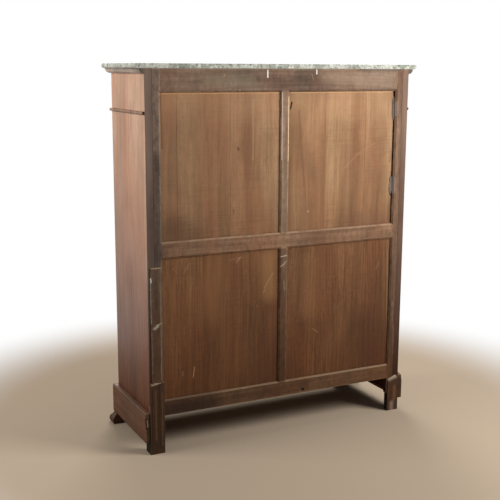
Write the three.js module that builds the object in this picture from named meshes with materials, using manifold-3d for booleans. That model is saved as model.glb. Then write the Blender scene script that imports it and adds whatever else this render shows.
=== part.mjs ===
// Semainier chest: seven drawers one above another, a loose marble top and a framed back.
// Lengths are millimetres, +Z is up, the drawers open towards -Y, and +X is the chest's right side.
import * as THREE from 'three';
import { mergeVertices } from 'three/addons/utils/BufferGeometryUtils.js';
import Module from 'manifold-3d';

const wasm = await Module();
wasm.setup();

// Overall sizes
const totalHeight = 1500;
const carcassWidth = 1160;
const carcassDepth = 382;
const drawerCount = 7;

// Clearances, and how far a cutter runs past what it cuts
const fitGap = 0.3;
const runningGap = 0.5;
const drawerSideGap = 1.5;
const drawerTopGap = 2;
const drawerRearGap = 8;
const cutOverrun = 3;

// Marble top
const marbleThickness = 17;
const marbleSideOverhang = 38;
const marbleFrontOverhang = 38;
const marbleCornerRadius = 40;
const marbleNoseDepth = 5;
const marbleNoseSteps = 6;
const marbleCornerSteps = 6;

// Cornice, astragal and plinth
const corniceHeight = 20;
const corniceProjection = 20;
const corniceSteps = 6;
const topRailDepth = 60;
const astragalHeight = 13;
const astragalProjection = 8;
const astragalSteps = 6;
const astragalDrop = 162;
const astragalRearSetback = 4;
const plinthHeight = 118;
const plinthThickness = 19;
const plinthRound = 7;
const plinthRoundSteps = 3;

// Sides, dividers and bottom board. The sides and rear posts end a little above the plinth's lower edge.
const sideThickness = 28;
const sideLift = 30;
const dividerThickness = 16;
const dividerFrontSetback = 1;
const housingDepth = 8;
const housingStop = 14;

// Back frame and its panels
const frameThickness = 22;
const stileWidth = 60;
const muntinWidth = 40;
const topRailWidth = 88;
const upperPanelHeight = 555;
const middleRailWidth = 66;
const bottomRailWidth = 65;
const bottomRailLap = 19;
const frameChamferWidth = 7;
const frameChamferDepth = 5;
const panelSetback = 8;
const panelThickness = 8;
const grooveDepth = 8;
const shrunkPanelGap = 4;
const tenonLength = 18;
const tenonThickness = 8;
const tenonShoulder = 12;

// Rear legs: a foot under each rear corner with a facing up the back of the post. The left leg stands
// further out, and its facing laps the end of the plinth and rises to a blunt point. Shares are
// [across, up] from the facing's inner edge and the floor.
const legDepth = 48;
const legFacingThickness = 4;
const rightFacingTop = 291;
const rightFacingBevel = 3;
const leftFacingTop = 162;
const leftFacingBevel = 14;
const leftLegShift = 6;
const leftFacingShares = [[0, 0.9], [0.55, 1], [0.74, 0.91], [1, 0.9]];

// Front feet
const footHeight = 52;
const footLength = 130;
const footToeLength = 84;
const footDepth = 36;
const footSwell = 14;
const footSteps = 10;
const footSwellShares = [[0, 0.62], [0.14, 0.92], [0.33, 1], [0.55, 0.72], [0.74, 0.12], [0.88, -0.22], [1, 0]];

// Drawers
const drawerFrontThickness = 20;
const drawerFrontSetback = 2;
const drawerFrontChamfer = 2;
const trayWall = 12;
const trayBottom = 10;
const traySideSetback = 1.5;
const trayTopDrop = 6;

// Knobs
const knobDiameter = 34;
const knobProjection = 30;
const knobNeckDiameter = 16;
const knobDowelDiameter = 10;
const knobDowelLength = 14;
const knobSides = 14;
const knobSpacing = 640;
const knobCapSteps = 5;
const knobBaseShares = [[0.62, 0], [0.62, 0.1], [0.5, 0.18]];

// Places worked out from the sizes
const halfWidth = carcassWidth / 2;
const frontFace = -carcassDepth / 2;
const backFace = carcassDepth / 2;
const carcassTop = totalHeight - marbleThickness - fitGap;
const corniceBottom = carcassTop - corniceHeight;
const innerSide = halfWidth - sideThickness;
const stileInner = halfWidth - stileWidth;
const frameFront = backFace - frameThickness;
const astragalCentre = carcassTop - astragalDrop;
const plinthTop = footHeight + plinthHeight;
const carcassBottom = footHeight + sideLift;
const topRailBottom = carcassTop - topRailWidth;
const middleRailTop = topRailBottom - upperPanelHeight;
const middleRailBottom = middleRailTop - middleRailWidth;
const bottomRailBottom = plinthTop - bottomRailLap;
const bottomRailTop = bottomRailBottom + bottomRailWidth;
const frontmost = frontFace - marbleFrontOverhang;
const rearmost = backFace + fitGap + legFacingThickness;
const middleDepth = (frontmost + rearmost) / 2;

// Finishes
const finishes = {
  polishedWalnut: { color: 0x6f4330, roughness: 0.35, metalness: 0 },
  darkPlinth: { color: 0x54382b, roughness: 0.45, metalness: 0 },
  greyOak: { color: 0x66564a, roughness: 0.85, metalness: 0 },
  warmOak: { color: 0x8e6742, roughness: 0.75, metalness: 0 },
  drawerPine: { color: 0xb08a5c, roughness: 0.8, metalness: 0 },
  greyMarble: { color: 0xb9bbb0, roughness: 0.3, metalness: 0 },
  turnedWalnut: { color: 0x4a2d20, roughness: 0.35, metalness: 0 },
};

// The carcass is drawn about its own middle and moved so that the whole chest is centred in depth
const chest = new THREE.Group();
const carcass = new THREE.Group();
carcass.position.y = -middleDepth;
chest.add(carcass);

function addPiece(name, geometry, finish, parent = carcass) {
  const mesh = new THREE.Mesh(geometry, new THREE.MeshStandardMaterial(finishes[finish]));
  mesh.name = name;
  parent.add(mesh);
  return mesh;
}

// Box between two values on each axis
function block([x0, x1], [y0, y1], [z0, z1]) {
  const box = new THREE.BoxGeometry(x1 - x0, y1 - y0, z1 - z0);
  box.translate((x0 + x1) / 2, (y0 + y1) / 2, (z0 + z1) / 2);
  return box;
}

// Box on both sides of the middle
function centredBlock(halfSpan, ys, zs) {
  return block([-halfSpan, halfSpan], ys, zs);
}

// A ring's outline seen along the axis that it faces most
function flattened(ring) {
  const normal = new THREE.Vector3();
  ring.forEach((p, i) => {
    const q = ring[(i + 1) % ring.length];
    normal.x += (p.y - q.y) * (p.z + q.z);
    normal.y += (p.z - q.z) * (p.x + q.x);
    normal.z += (p.x - q.x) * (p.y + q.y);
  });
  const [ax, ay, az] = normal.toArray().map(Math.abs);
  if (ax >= ay && ax >= az) return ring.map((p) => new THREE.Vector2(p.y, p.z));
  if (ay >= az) return ring.map((p) => new THREE.Vector2(p.x, p.z));
  return ring.map((p) => new THREE.Vector2(p.x, p.y));
}

function edgesOf(triangle) {
  return triangle.map((corner, i) => `${corner},${triangle[(i + 1) % triangle.length]}`);
}

// Closed solid through a row of rings that all have the same number of corners
function loft(rings) {
  const corners = rings[0].length;
  const points = rings.flat();
  const walls = [];
  for (let ring = 0; ring + 1 < rings.length; ring += 1) {
    for (let corner = 0; corner < corners; corner += 1) {
      const here = ring * corners + corner;
      const next = ring * corners + ((corner + 1) % corners);
      walls.push([here, next, next + corners], [here, next + corners, here + corners]);
    }
  }
  const last = points.length - corners;
  const cap = THREE.ShapeUtils.triangulateShape(flattened(rings[0]), []);
  const caps = cap.flatMap(([a, b, c]) => [[a, b, c], [last + a, last + c, last + b]]);
  // Neighbouring triangles pass their shared edge in opposite directions
  const wallEdges = new Set(walls.flatMap(edgesOf));
  if (caps.flatMap(edgesOf).some((edge) => wallEdges.has(edge))) {
    caps.forEach((triangle) => triangle.reverse());
  }
  const triangles = [...walls, ...caps];
  const volume = triangles.reduce(
    (sum, [a, b, c]) => sum + points[a].dot(points[b].clone().cross(points[c])),
    0,
  );
  if (volume < 0) triangles.forEach((triangle) => triangle.reverse());
  const geometry = new THREE.BufferGeometry().setFromPoints(points);
  geometry.setIndex(triangles.flat());
  geometry.computeVertexNormals();
  return geometry;
}

// Joining and cutting
function toSolid(geometry) {
  const bare = geometry.clone();
  bare.deleteAttribute('normal');
  bare.deleteAttribute('uv');
  const merged = mergeVertices(bare);
  const vertProperties = new Float32Array(merged.attributes.position.array);
  const triVerts = new Uint32Array(merged.index.array);
  return new wasm.Manifold(new wasm.Mesh({ numProp: 3, vertProperties, triVerts }));
}

function toGeometry(solid) {
  const { vertProperties, triVerts, numProp } = solid.getMesh();
  const geometry = new THREE.BufferGeometry();
  geometry.setAttribute('position', new THREE.BufferAttribute(Float32Array.from(vertProperties), numProp));
  geometry.setIndex(new THREE.BufferAttribute(Uint32Array.from(triVerts), 1));
  geometry.computeVertexNormals();
  return geometry;
}

function cut(geometry, cutters) {
  const solid = cutters.reduce((rest, cutter) => rest.subtract(toSolid(cutter)), toSolid(geometry));
  return toGeometry(solid);
}

function join(geometries) {
  return toGeometry(geometries.map(toSolid).reduce((whole, solid) => whole.add(solid)));
}

// Points on a quarter or half ellipse, as [outward, upward]
function arcPoints(steps, fromAngle, toAngle, outRadius, upRadius) {
  return Array.from({ length: steps + 1 }, (_, i) => {
    const angle = fromAngle + ((toAngle - fromAngle) * i) / steps;
    return [outRadius * Math.cos(angle), upRadius * Math.sin(angle)];
  });
}

function shifted(points, out, up) {
  return points.map(([x, y]) => [x + out, y + up]);
}

// Mouldings lie against the front or a side. A section is [outward, upward] points, and an end
// stops square or runs out at 45 degrees to meet its neighbour round the corner.
const against = {
  front: (along, out, up) => new THREE.Vector3(along, frontFace - fitGap - out, up),
  right: (along, out, up) => new THREE.Vector3(halfWidth + fitGap + out, along, up),
  left: (along, out, up) => new THREE.Vector3(-halfWidth - fitGap - out, along, up),
};

function moulding(section, face, from, to, mitreTo) {
  const start = section.map(([out, up]) => against[face](from - out, out, up));
  const end = section.map(([out, up]) => against[face](to + (mitreTo ? out : 0), out, up));
  return loft([start, end]);
}

function sideRuns(name, section, finish, rearEnd) {
  ['left', 'right'].forEach((face) => {
    addPiece(`${name}_${face}`, moulding(section, face, frontFace, rearEnd, false), finish);
  });
}

function frontRun(section) {
  return moulding(section, 'front', -halfWidth, halfWidth, true);
}

// Marble slab with a rounded nose at the front and sides and a sawn rear edge
function marbleRing(inset, z) {
  const side = halfWidth + marbleSideOverhang - inset;
  const front = frontmost + inset;
  const radius = marbleCornerRadius - inset;
  const corner = arcPoints(marbleCornerSteps, 0, Math.PI / 2, radius, radius)
    .map(([x, y]) => [side - radius + x, front + radius - y]);
  const right = [[side, backFace], ...corner];
  const left = right.map(([x, y]) => [-x, y]).reverse();
  return [...right, ...left].map(([x, y]) => new THREE.Vector3(x, y, z));
}

const noseArc = arcPoints(marbleNoseSteps, -Math.PI / 2, Math.PI / 2, marbleNoseDepth, marbleThickness / 2);
const marbleMiddle = totalHeight - marbleThickness / 2;
const marbleRings = noseArc.map(([out, up]) => marbleRing(marbleNoseDepth - out, marbleMiddle + up));
addPiece('marble_top', loft(marbleRings), 'greyMarble');

// Cornice: an ovolo under the marble, its front run worked on the top rail
const ovolo = [
  [0, carcassTop],
  ...shifted(arcPoints(corniceSteps, 0, -Math.PI / 2, corniceProjection, corniceHeight), 0, carcassTop),
];
const topRail = centredBlock(
  innerSide - fitGap,
  [frontFace - fitGap, frontFace + topRailDepth],
  [corniceBottom, carcassTop],
);
sideRuns('cornice', ovolo, 'polishedWalnut', backFace);
addPiece('cornice_front', join([frontRun(ovolo), topRail]), 'polishedWalnut');

// Astragal: a half round bead in line with the divider under the top drawer
const bead = shifted(
  arcPoints(astragalSteps, -Math.PI / 2, Math.PI / 2, astragalProjection, astragalHeight / 2),
  0,
  astragalCentre,
);
sideRuns('astragal', bead, 'polishedWalnut', backFace - astragalRearSetback);
addPiece('astragal_front', frontRun(bead), 'polishedWalnut');

// Plinth with a rounded upper edge
const plinthSection = [
  [0, footHeight],
  [plinthThickness, footHeight],
  ...shifted(
    arcPoints(plinthRoundSteps, 0, Math.PI / 2, plinthRound, plinthRound),
    plinthThickness - plinthRound,
    plinthTop - plinthRound,
  ),
  [0, plinthTop],
];
sideRuns('plinth', plinthSection, 'darkPlinth', backFace);
addPiece('plinth_front', frontRun(plinthSection), 'darkPlinth');

// Heights of the drawer openings, from the top drawer down
const friezeFloor = astragalCentre + dividerThickness / 2;
const lowerCount = drawerCount - 1;
const lowerSpace = friezeFloor - plinthTop;
const lowerOpening = lowerSpace / lowerCount - dividerThickness;
const openings = Array.from({ length: drawerCount }, (_, i) => {
  const floor = friezeFloor - i * (lowerOpening + dividerThickness);
  return { floor, height: i === 0 ? corniceBottom - friezeFloor : lowerOpening };
});

// Dividers and the bottom board are housed in the sides, with the housings stopped at the front
function housedBoard(top) {
  const rear = frameFront - fitGap;
  const heights = [top - dividerThickness, top];
  const tongueStart = frontFace + housingStop + fitGap;
  return join([
    centredBlock(innerSide - fitGap, [frontFace + dividerFrontSetback, rear], heights),
    centredBlock(innerSide + housingDepth - fitGap, [tongueStart, rear], heights),
  ]);
}

function housing(top, sign) {
  const xs = [innerSide - cutOverrun, innerSide + housingDepth].map((x) => sign * x);
  return block(
    sign > 0 ? xs : xs.reverse(),
    [frontFace + housingStop, frameFront],
    [top - dividerThickness - fitGap, top + fitGap],
  );
}

const dividerTops = openings.slice(0, lowerCount).map(({ floor }) => floor);
dividerTops.forEach((top, i) => addPiece(`divider_${i + 1}`, housedBoard(top), 'drawerPine'));
addPiece('bottom_board', housedBoard(plinthTop), 'drawerPine');

const hands = [['left', -1], ['right', 1]];
hands.forEach(([hand, sign]) => {
  const xs = [sign * innerSide, sign * halfWidth];
  const board = block(
    sign > 0 ? xs : xs.reverse(),
    [frontFace, backFace],
    [carcassBottom, carcassTop],
  );
  const housings = [...dividerTops, plinthTop].map((top) => housing(top, sign));
  addPiece(`side_${hand}`, cut(board, housings), 'polishedWalnut');
});

// Back frame: four openings, each with a panel in a groove and a chamfer round its edge
const halfMuntin = muntinWidth / 2;
const rows = [
  ['upper', middleRailTop, topRailBottom],
  ['lower', bottomRailTop, middleRailBottom],
];
const columns = [
  ['left', -stileInner, -halfMuntin],
  ['right', halfMuntin, stileInner],
];
const frameOpenings = rows.flatMap(([row, z0, z1]) => columns.map(([column, x0, x1]) => ({
  name: `${row}_${column}`, xs: [x0, x1], zs: [z0, z1],
})));

function grown([low, high], amount) {
  return [low - amount, high + amount];
}

const panelYs = [backFace - panelSetback - panelThickness, backFace - panelSetback];

function rectangleRing([x0, x1], y, [z0, z1]) {
  return [[x0, z0], [x1, z0], [x1, z1], [x0, z1]].map(([x, z]) => new THREE.Vector3(x, y, z));
}

function grooveCutter({ xs, zs }) {
  return block(grown(xs, grooveDepth), grown(panelYs, fitGap), grown(zs, grooveDepth));
}

// The chamfer's slope carried on past the back face, so that the cut is clean
function chamferCutter({ xs, zs }) {
  const past = 2 * frameChamferWidth;
  return loft([
    rectangleRing(xs, backFace - frameChamferDepth, zs),
    rectangleRing(grown(xs, past), backFace + frameChamferDepth, grown(zs, past)),
  ]);
}

const frameCutters = frameOpenings.flatMap((opening) => [grooveCutter(opening), chamferCutter(opening)]);
const frameYs = [frameFront, backFace];
const frameMiddle = (frameFront + backFace) / 2;
const tenonYs = [frameMiddle - tenonThickness / 2, frameMiddle + tenonThickness / 2];
const railZs = {
  top: [topRailBottom, carcassTop],
  middle: [middleRailBottom, middleRailTop],
  bottom: [bottomRailBottom, bottomRailTop],
};
const railTenons = Object.values(railZs).map((zs) => (
  [[-stileInner - tenonLength, stileInner + tenonLength], tenonYs, grown(zs, -tenonShoulder)]
));
const muntinTenons = rows.map(([, z0, z1]) => (
  [[tenonShoulder - halfMuntin, halfMuntin - tenonShoulder], tenonYs, grown([z0, z1], tenonLength)]
));
const railMortises = railTenons.map((tenon) => block(...tenon.map((span) => grown(span, fitGap))));
const muntinMortises = muntinTenons.map((tenon) => block(...tenon.map((span) => grown(span, fitGap))));

Object.entries(railZs).forEach(([name, zs], i) => {
  const rail = join([centredBlock(stileInner - fitGap, frameYs, zs), block(...railTenons[i])]);
  addPiece(`back_rail_${name}`, cut(rail, [...frameCutters, ...muntinMortises]), 'greyOak');
});

rows.forEach(([row, z0, z1], i) => {
  const muntin = join([centredBlock(halfMuntin, frameYs, grown([z0, z1], -fitGap)), block(...muntinTenons[i])]);
  addPiece(`back_muntin_${row}`, cut(muntin, frameCutters), 'greyOak');
});

hands.forEach(([hand, sign]) => {
  const xs = [sign * stileInner, sign * (innerSide - fitGap)];
  const post = block(sign > 0 ? xs : xs.reverse(), frameYs, [carcassBottom, carcassTop]);
  addPiece(`rear_post_${hand}`, cut(post, [...frameCutters, ...railMortises]), 'greyOak');
});

// One panel has shrunk out of its groove along the left post
frameOpenings.forEach(({ name, xs, zs }) => {
  const [low, high] = grown(xs, grooveDepth - fitGap);
  const start = name === 'upper_left' ? xs[0] + shrunkPanelGap : low;
  const panel = block([start, high], panelYs, grown(zs, grooveDepth - fitGap));
  addPiece(`back_panel_${name}`, panel, 'warmOak');
});

// Rear legs: a block as deep as the back frame, deeper under the side board, with a facing up the back
const plinthOuterSide = halfWidth + fitGap + plinthThickness;
const legParts = {
  left: {
    sign: -1,
    inner: stileInner + leftLegShift,
    outer: plinthOuterSide,
    foot: footHeight,
    top: leftFacingTop,
    bevel: leftFacingBevel,
    shares: leftFacingShares,
  },
  right: {
    sign: 1,
    inner: stileInner,
    outer: halfWidth,
    foot: 0,
    top: rightFacingTop,
    bevel: rightFacingBevel,
    shares: [[0, 1], [1, 1]],
  },
};

function rearLeg({ sign, inner, outer, foot, top, bevel, shares }) {
  const under = carcassBottom - fitGap;
  const between = (x0, x1) => (sign > 0 ? [x0, x1] : [-x1, -x0]);
  const facing = shares.map(([across, up]) => [
    [backFace + fitGap, foot],
    [rearmost, foot],
    [rearmost, top * up - bevel],
    [backFace + fitGap, top * up],
  ].map(([y, z]) => new THREE.Vector3(sign * (inner + (outer - inner) * across), y, z)));
  return join([
    block(between(inner, halfWidth), [frameFront, rearmost], [0, under]),
    block(between(innerSide, halfWidth), [backFace - legDepth, rearmost], [0, under]),
    loft(facing),
  ]);
}
Object.entries(legParts).forEach(([hand, leg]) => addPiece(`rear_leg_${hand}`, rearLeg(leg), 'greyOak'));

// Front feet: an ogee swelling out to the front and the side, with a bracket towards the middle
const plinthOuterFront = frontFace - fitGap - plinthThickness;
const swellCurve = new THREE.SplineCurve(footSwellShares.map(([t, swell]) => new THREE.Vector2(t, swell)));

function footRing(sign, share) {
  const point = swellCurve.getPoint(share);
  const swell = point.y * footSwell;
  const bracket = Math.sin((point.x * Math.PI) / 2) ** 2;
  const inner = plinthOuterSide - footToeLength - (footLength - footToeLength) * bracket;
  const outer = plinthOuterSide + swell;
  const rear = plinthOuterFront + footDepth;
  const front = plinthOuterFront - swell;
  const z = point.x * (footHeight - fitGap);
  return [[inner, rear], [outer, rear], [outer, front], [inner, front]]
    .map(([x, y]) => new THREE.Vector3(sign * x, y, z));
}

hands.forEach(([hand, sign]) => {
  const rings = Array.from({ length: footSteps + 1 }, (_, i) => footRing(sign, i / footSteps));
  addPiece(`front_foot_${hand}`, loft(rings), 'darkPlinth');
});

// Knob: a dowel, a base ring, a neck and a domed head, turned about its own axis
function knobGeometry() {
  const radius = knobDiameter / 2;
  const dowel = knobDowelDiameter / 2;
  const capHeight = knobProjection / 2;
  const head = shifted(
    arcPoints(knobCapSteps, -Math.PI / 4, Math.PI / 2, radius, capHeight / 2),
    0,
    knobProjection - capHeight / 2,
  );
  head[head.length - 1][0] = 0;
  const outline = [
    [0, -knobDowelLength],
    [dowel, -knobDowelLength],
    [dowel, 0],
    ...knobBaseShares.map(([r, h]) => [r * radius, h * knobProjection]),
    [knobNeckDiameter / 2, knobProjection / 3],
    ...head,
  ];
  const turned = new THREE.LatheGeometry(outline.map(([r, h]) => new THREE.Vector2(r, h)), knobSides);
  return turned.rotateX(Math.PI);
}

function dowelHole(x, z) {
  const depth = knobDowelLength + fitGap + cutOverrun;
  const hole = new THREE.CylinderGeometry(
    knobDowelDiameter / 2 + fitGap,
    knobDowelDiameter / 2 + fitGap,
    depth,
    knobSides,
  );
  return hole.translate(x, frontFace + drawerFrontSetback - cutOverrun + depth / 2, z);
}

// Drawers: a flush front, and a tray of sides, back and bottom behind it
function drawerFront(halfSpan, height) {
  const outer = frontFace + drawerFrontSetback;
  const ring = (inset, y) => rectangleRing(grown([-halfSpan, halfSpan], -inset), y, grown([0, height], -inset));
  return loft([
    ring(drawerFrontChamfer, outer),
    ring(0, outer + drawerFrontChamfer),
    ring(0, outer + drawerFrontThickness),
  ]);
}

function drawerTray(halfSpan, height) {
  const start = frontFace + drawerFrontSetback + drawerFrontThickness + fitGap;
  const rear = frameFront - drawerRearGap;
  const outside = centredBlock(halfSpan, [start, rear], [0, height]);
  const inside = centredBlock(
    halfSpan - trayWall,
    [start - cutOverrun, rear - trayWall],
    [trayBottom, height + cutOverrun],
  );
  return cut(outside, [inside]);
}

openings.forEach(({ floor, height }, i) => {
  const name = `drawer_${i + 1}`;
  const drawer = new THREE.Group();
  drawer.position.z = floor + runningGap;
  carcass.add(drawer);
  const halfSpan = innerSide - drawerSideGap;
  const frontHeight = height - runningGap - drawerTopGap;
  const knobXs = i === 0 ? [] : hands.map(([hand, sign]) => [hand, (sign * knobSpacing) / 2]);
  const holes = knobXs.map(([, x]) => dowelHole(x, frontHeight / 2));
  addPiece(`${name}_front`, cut(drawerFront(halfSpan, frontHeight), holes), 'polishedWalnut', drawer);
  addPiece(`${name}_tray`, drawerTray(halfSpan - traySideSetback, frontHeight - trayTopDrop), 'drawerPine', drawer);
  knobXs.forEach(([hand, x]) => {
    const knob = addPiece(`${name}_knob_${hand}`, knobGeometry(), 'turnedWalnut', drawer);
    knob.position.set(x, frontFace + drawerFrontSetback - fitGap, frontHeight / 2);
  });
});

export default chest;
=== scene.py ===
import math
import random

import bmesh
import bpy
from mathutils import Matrix, Vector


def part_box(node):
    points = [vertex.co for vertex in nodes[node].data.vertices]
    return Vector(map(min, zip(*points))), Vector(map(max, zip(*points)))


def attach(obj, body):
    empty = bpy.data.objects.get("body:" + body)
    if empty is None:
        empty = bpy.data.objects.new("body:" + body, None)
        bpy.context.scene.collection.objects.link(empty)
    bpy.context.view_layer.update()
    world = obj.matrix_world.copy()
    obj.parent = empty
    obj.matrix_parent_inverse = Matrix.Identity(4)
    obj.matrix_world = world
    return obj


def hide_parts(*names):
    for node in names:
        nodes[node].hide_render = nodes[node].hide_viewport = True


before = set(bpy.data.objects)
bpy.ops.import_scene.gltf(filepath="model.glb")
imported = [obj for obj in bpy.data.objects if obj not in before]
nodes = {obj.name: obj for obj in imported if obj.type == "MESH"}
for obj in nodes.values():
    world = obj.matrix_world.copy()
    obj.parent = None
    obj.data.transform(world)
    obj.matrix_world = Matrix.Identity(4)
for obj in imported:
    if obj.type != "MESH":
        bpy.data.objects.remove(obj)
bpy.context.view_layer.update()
hands = ("left", "right")
drawerNumbers = range(1, 8)
print("frame loaded:", len(nodes), "nodes")

# Planes that several pieces share, read from the frame (metres)
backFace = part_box("side_right")[1].y
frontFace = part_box("side_right")[0].y
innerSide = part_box("side_right")[0].x
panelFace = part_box("back_panel_upper_right")[1].y
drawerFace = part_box("drawer_2_front")[0].y


# Short ways to add and join shader nodes
class Graph:
    def __init__(self, tree):
        self.tree = tree

    def plug(self, socket, value):
        if isinstance(value, bpy.types.NodeSocket):
            self.tree.links.new(value, socket)
        else:
            socket.default_value = value

    def add(self, kind, inputs=None, **settings):
        node = self.tree.nodes.new(kind)
        for name, value in settings.items():
            setattr(node, name, value)
        for name, value in (inputs or {}).items():
            self.plug(node.inputs[name], value)
        return node

    def math(self, operation, *values, clamp=False):
        inputs = dict(enumerate(values))
        return self.add("ShaderNodeMath", inputs, operation=operation, use_clamp=clamp).outputs[0]

    def plus(self, first, second):
        return self.math("ADD", first, second)

    def minus(self, first, second):
        return self.math("SUBTRACT", first, second)

    def times(self, first, second):
        return self.math("MULTIPLY", first, second)

    def vector(self, operation, *values):
        node = self.add("ShaderNodeVectorMath", dict(enumerate(values)), operation=operation)
        return node.outputs["Value" if operation in ("LENGTH", "DOT_PRODUCT") else "Vector"]

    def scaled(self, vector, factor):
        inputs = {0: vector, "Scale": factor}
        return self.add("ShaderNodeVectorMath", inputs, operation="SCALE").outputs["Vector"]

    def parts(self, vector):
        return self.add("ShaderNodeSeparateXYZ", {"Vector": vector}).outputs

    def ramp(self, value, low, high, toLow=0.0, toHigh=1.0):
        inputs = {"Value": value, "From Min": low, "From Max": high, "To Min": toLow, "To Max": toHigh}
        return self.add("ShaderNodeMapRange", inputs, interpolation_type="SMOOTHSTEP").outputs["Result"]

    def mix(self, share, first, second, blend="MIX"):
        inputs = {0: share, 6: first, 7: second}
        return self.add("ShaderNodeMix", inputs, data_type="RGBA", blend_type=blend).outputs[2]

    # One colour laid over another, by a mask and a share
    def layer(self, colour, mask, share, over):
        return self.mix(self.times(mask, share), colour, over)

    def noise(self, vector, scale, detail=2.0, roughness=.5, distortion=0.0):
        return self.add("ShaderNodeTexNoise", {"Vector": vector, "Scale": scale, "Detail": detail,
                                               "Roughness": roughness, "Distortion": distortion}).outputs

    # Noise pulled by a factor along each axis: a small factor draws the marks out
    def drawn(self, vector, pull, *noise):
        return self.noise(self.vector("MULTIPLY", vector, pull), *noise)["Fac"]

    # A group's outputs. Its inputs take the settings of the same names.
    def group(self, tree, place, settings=()):
        node = self.add("ShaderNodeGroup", {"Vector": place}, node_tree=tree)
        for socket in node.inputs:
            if socket.name in settings:
                self.plug(socket, settings[socket.name])
        return node.outputs

    # Gives a new group its outputs, and returns it
    def close(self, results):
        for label, value in results.items():
            kind = "NodeSocketVector" if label == "Vector" else "NodeSocketFloat"
            self.tree.interface.new_socket(label, in_out="OUTPUT", socket_type=kind)
        self.add("NodeGroupOutput", results)
        return self.tree


# A screen colour, as the shaders take it
def rgb(red, green, blue):
    channels = [c / 255 for c in (red, green, blue)]
    return (*[c / 12.92 if c < .04045 else ((c + .055) / 1.055) ** 2.4 for c in channels], 1)


# A new group with a place as its first input. An input is a vector where its value has three numbers.
def newGroup(name, inputs):
    tree = bpy.data.node_groups.new(name, "ShaderNodeTree")
    for label, value in {"Vector": (0, 0, 0), **inputs}.items():
        kind = "NodeSocketVector" if isinstance(value, tuple) else "NodeSocketFloat"
        tree.interface.new_socket(label, in_out="INPUT", socket_type=kind).default_value = value
    given = tree.nodes.new("NodeGroupInput").outputs
    return Graph(tree), given["Vector"], given


# How far each part of the grain is drawn out along the log, which is Z. The saw went across it.
grainPull = {"tone": (1, 1, .22), "bands": (1, 1, .04), "streaks": (1, 1, .025), "rings": (1, 1, .05),
             "pores": (1, 1, .035), "saw": (.03, .03, 1)}
grainScale = {"pores": 900, "saw": 260, "sawn": 5}
grainDrift = {"pull": (3, 3, 1.1), "reach": (.06, .06, 0)}
logHeart = (.06, .11, 0)


# Broad tones, bands, growth rings, fine streaks, open pores and saw marks
def makeGrainGroup():
    g, log, given = newGroup("wood grain", {
        "toneScale": 12, "bandScale": 45, "streakScale": 190, "ringScale": 14,
    })
    drift = g.noise(g.vector("MULTIPLY", log, grainDrift["pull"]), 1.0)["Color"]
    drift = g.vector("MULTIPLY", g.vector("SUBTRACT", drift, (.5, .5, .5)), grainDrift["reach"])
    place = g.vector("ADD", log, drift)
    tone = g.drawn(place, grainPull["tone"], given["toneScale"], 3, .5)
    bands = g.drawn(place, grainPull["bands"], given["bandScale"], 3, .55)
    streaks = g.drawn(place, grainPull["streaks"], given["streakScale"], 3, .6)
    rings = g.add("ShaderNodeTexWave", {
        "Vector": g.vector("MULTIPLY", g.vector("ADD", place, logHeart), grainPull["rings"]),
        "Scale": given["ringScale"], "Distortion": 4, "Detail": 3, "Detail Scale": 1.3,
    }, wave_type="RINGS", rings_direction="Z", wave_profile="SAW").outputs["Fac"]
    pores = g.ramp(g.drawn(log, grainPull["pores"], grainScale["pores"], 1), .58, .72)
    cuts = g.ramp(g.drawn(log, grainPull["saw"], grainScale["saw"], 2, .6), .48, .62)
    sawn = g.ramp(g.noise(log, grainScale["sawn"], 2)["Fac"], .42, .6)
    return g.close({
        "tone": g.ramp(tone, .28, .72),
        "bands": g.ramp(bands, .3, .7),
        "streaks": g.ramp(streaks, .4, .68),
        "rings": g.ramp(rings, .3, 1),
        "pores": pores,
        "sawn": g.times(cuts, sawn),
        "height": g.minus(g.times(streaks, .6), g.times(pores, .5)),
    })


# Boards glued side by side across X: each has its own tone and its own stretch of grain
def makeBoardsGroup():
    g, place, given = newGroup("boards side by side", {"width": .2, "phase": 0})
    across = g.plus(g.math("DIVIDE", g.parts(place)["X"], given["width"]), given["phase"])
    dice = g.add("ShaderNodeTexWhiteNoise", {"W": g.math("FLOOR", across)}, noise_dimensions="1D").outputs
    shift = g.vector("MULTIPLY", dice["Color"], (3, 3, 5))
    fromMiddle = g.math("ABSOLUTE", g.minus(g.math("FRACT", across), .5))
    return g.close({
        "Vector": g.vector("ADD", place, shift),
        "tone": dice["Value"],
        "seam": g.ramp(fromMiddle, .492, .5),
    })


# Veneer laid in a mirrored pair, with a flame that climbs away from the middle
def makeFlameGroup():
    g, place, given = newGroup("mirrored flame", {"lean": 1.1})
    x, _, z = g.parts(place)
    fold = g.math("ABSOLUTE", x)
    sway = g.drawn(place, (1, 0, 1), 2.6, 2)
    rise = g.times(g.math("POWER", fold, .62), given["lean"])
    climb = g.plus(g.minus(z, rise), g.times(sway, .35))
    flame = g.add("ShaderNodeCombineXYZ", {"X": climb, "Y": g.times(sway, .2), "Z": fold})
    return g.close({"Vector": flame.outputs["Vector"]})


# Edges of a board, rubbed pale on some woods and darkened as painted shade on others: the middle one of its
# distances to three faces is small only along an edge
def makeEdgeGroup():
    g, place, given = newGroup("worn and shaded edges", {"low": (0, 0, 0), "high": (1, 1, 1), "wearAndShadeWidth": .004})
    low = g.vector("SUBTRACT", place, given["low"])
    high = g.vector("SUBTRACT", given["high"], place)
    x, y, z = g.parts(g.vector("MINIMUM", low, high))
    middle = g.math("MAXIMUM", g.math("MINIMUM", x, y), g.math("MINIMUM", g.math("MAXIMUM", x, y), z))
    ragged = g.noise(place, 28, 4, .65)["Fac"]
    reach = g.times(given["wearAndShadeWidth"], g.ramp(ragged, .35, .7, .35, 1.6))
    return g.close({"wearAndShade": g.ramp(g.math("DIVIDE", middle, reach), 1.0, 0.0)})
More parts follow.
